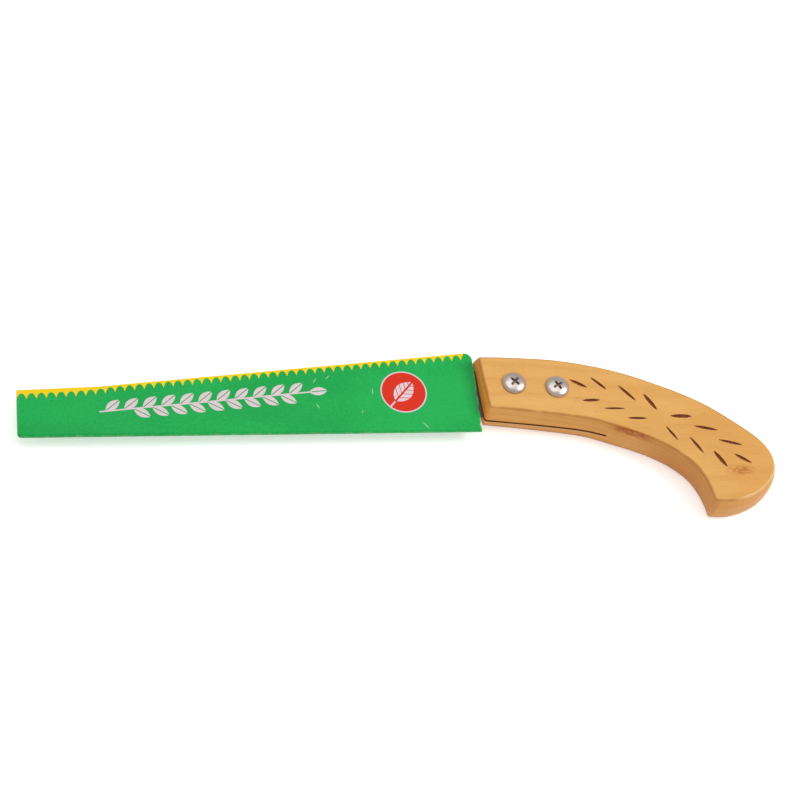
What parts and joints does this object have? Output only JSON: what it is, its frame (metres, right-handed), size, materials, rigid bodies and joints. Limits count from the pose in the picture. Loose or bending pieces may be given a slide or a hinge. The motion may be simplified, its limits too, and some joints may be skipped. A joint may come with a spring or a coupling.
{
  "type": "pruning saw",
  "caption": "Fixed-blade pruning saw with a curved wooden pistol grip, two through screws and a slide-off card sheath over the toothed blade.",
  "frame": {"origin": "on the handle's flat back face, midway between the two screws", "axes": "+X along the sheath's spine towards the butt of the handle, +Y in the blade's plane towards the teeth, +Z the blade's normal, out of the handle's front face, where the screw heads are"},
  "size_m": [0.4282, 0.1046, 0.025],
  "materials": {
    "lacquered_wood": "clear lacquer, satin",
    "blade_steel": "ground bright",
    "plated_screw": "bright plated",
    "zinc_hardware": "zinc plated",
    "printed_card": "printed, light gloss"
  },
  "bodies": {
    "saw": {"handle": "lacquered_wood", "saw_blade": "blade_steel", "front_screw": "plated_screw", "rear_screw": "plated_screw", "front_washer": "zinc_hardware", "rear_washer": "zinc_hardware", "front_nut": "zinc_hardware", "rear_nut": "zinc_hardware"},
    "sheath": {"sheath_front_panel": "printed_card", "sheath_back_panel": "printed_card", "sheath_spine_fold": "printed_card", "sheath_tooth_edge_flap": "printed_card"}
  },
  "joints": [
    {"name": "sheath_slide", "type": "slide", "parent": "saw", "child": "sheath", "axis": [-1, 0, 0], "range_m": [0, 0.27]}
  ]
}
